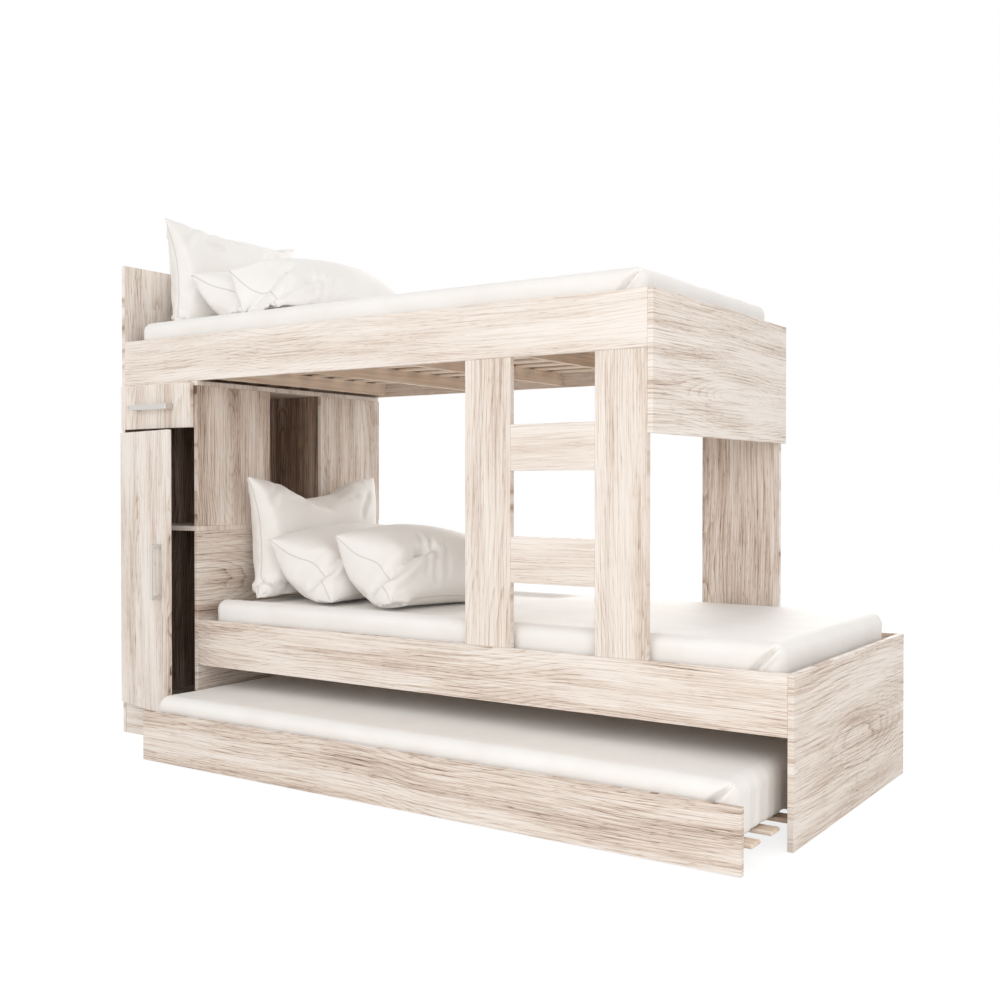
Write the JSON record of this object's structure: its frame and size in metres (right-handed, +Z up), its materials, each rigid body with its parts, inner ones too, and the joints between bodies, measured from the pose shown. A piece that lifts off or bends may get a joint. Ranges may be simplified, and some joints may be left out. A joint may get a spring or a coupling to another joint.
{
  "type": "triple bunk bed",
  "caption": "Bunk bed with a wardrobe at its head end, a ladder in the front, a lower bed offset towards the foot and a trundle bed that rolls out below it.",
  "frame": {"origin": "on the floor, below the middle of the whole footprint with the trundle pulled out as stored", "axes": "+X from the wardrobe to the foot, +Y from the front with the ladder to the back, +Z up"},
  "size_m": [2.2746, 1.0954, 1.6963],
  "materials": {
    "oak_laminate": "matt whitewashed oak laminate on particle board",
    "pine_slats": "planed bare pine",
    "hardboard": "thin painted hardboard",
    "cotton_sheet": "off-white woven cotton",
    "zinc_steel": "zinc-plated pressed steel",
    "silver_aluminium": "matt silver",
    "black_nylon": "moulded"
  },
  "bodies": {
    "bed": {"tall_end_panel": "oak_laminate", "lower_headboard": "oak_laminate", "bedside_panel_front": "oak_laminate", "bedside_panel_rear": "oak_laminate", "wardrobe_top": "oak_laminate", "wardrobe_shelf": "oak_laminate", "wardrobe_bottom": "oak_laminate", "wardrobe_plinth": "oak_laminate", "niche_partition_front": "oak_laminate", "niche_partition_rear": "oak_laminate", "wardrobe_back": "hardboard", "runner_fixed_left": "zinc_steel", "runner_fixed_right": "zinc_steel", "door_hinge_arm_lower": "zinc_steel", "door_hinge_arm_upper": "zinc_steel", "upper_front_rail": "oak_laminate", "upper_rear_rail": "oak_laminate", "upper_footboard": "oak_laminate", "upper_slat_base": "pine_slats", "lower_front_rail": "oak_laminate", "lower_rear_rail": "oak_laminate", "lower_footboard": "oak_laminate", "lower_slat_base": "pine_slats", "ladder_post_left": "oak_laminate", "ladder_post_right": "oak_laminate", "ladder_rung_lower": "oak_laminate", "ladder_rung_upper": "oak_laminate", "rear_post": "oak_laminate", "upper_mattress": "cotton_sheet", "lower_mattress": "cotton_sheet", "upper_pillow_back": "cotton_sheet", "upper_pillow_middle": "cotton_sheet", "upper_pillow_front": "cotton_sheet", "lower_pillow_back": "cotton_sheet", "lower_pillow_middle": "cotton_sheet", "lower_pillow_front": "cotton_sheet"},
    "drawer": {"drawer_front": "oak_laminate", "drawer_side_left": "oak_laminate", "drawer_side_right": "oak_laminate", "drawer_back": "oak_laminate", "drawer_bottom": "hardboard", "drawer_handle": "silver_aluminium", "runner_moving_left": "zinc_steel", "runner_moving_right": "zinc_steel"},
    "door": {"door_leaf": "oak_laminate", "door_handle": "silver_aluminium", "door_hinge_cup_lower": "zinc_steel", "door_hinge_cup_upper": "zinc_steel"},
    "trundle": {"trundle_front": "oak_laminate", "trundle_rear_board": "oak_laminate", "trundle_slat_base": "pine_slats", "trundle_mattress": "cotton_sheet", "castor_fork_front_left": "zinc_steel", "castor_fork_front_right": "zinc_steel", "castor_fork_rear_left": "zinc_steel", "castor_fork_rear_right": "zinc_steel"},
    "wheel_front_left": {"castor_wheel_front_left": "black_nylon"},
    "wheel_front_right": {"castor_wheel_front_right": "black_nylon"},
    "wheel_rear_left": {"castor_wheel_rear_left": "black_nylon"},
    "wheel_rear_right": {"castor_wheel_rear_right": "black_nylon"}
  },
  "joints": [
    {"name": "trundle_slide", "type": "slide", "parent": "bed", "child": "trundle", "axis": [0, -1, 0], "range_m": [-0.2228, 0.6]},
    {"name": "drawer_slide", "type": "slide", "parent": "bed", "child": "drawer", "axis": [0, -1, 0], "range_m": [0, 0.19]},
    {"name": "door_hinge", "type": "hinge", "parent": "bed", "child": "door", "pos_m": [-1.1235, -0.3259, 0.54175], "axis": [0, 0, -1], "range_deg": [-14, 76]},
    {"name": "wheel_spin_front_left", "type": "hinge", "parent": "trundle", "child": "wheel_front_left", "pos_m": [-0.61785, -0.4429, 0.019], "axis": [1, 0, 0], "continuous": true},
    {"name": "wheel_spin_front_right", "type": "hinge", "parent": "trundle", "child": "wheel_front_right", "pos_m": [0.96285, -0.4429, 0.019], "axis": [1, 0, 0], "continuous": true},
    {"name": "wheel_spin_rear_left", "type": "hinge", "parent": "trundle", "child": "wheel_rear_left", "pos_m": [-0.61785, 0.1871, 0.019], "axis": [1, 0, 0], "continuous": true},
    {"name": "wheel_spin_rear_right", "type": "hinge", "parent": "trundle", "child": "wheel_rear_right", "pos_m": [0.96285, 0.1871, 0.019], "axis": [1, 0, 0], "continuous": true}
  ],
  "couplings": [
    {"joint": "wheel_spin_front_left", "follows": "trundle_slide", "rad_per_m": 52.632},
    {"joint": "wheel_spin_front_right", "follows": "trundle_slide", "rad_per_m": 52.632},
    {"joint": "wheel_spin_rear_left", "follows": "trundle_slide", "rad_per_m": 52.632},
    {"joint": "wheel_spin_rear_right", "follows": "trundle_slide", "rad_per_m": 52.632}
  ]
}
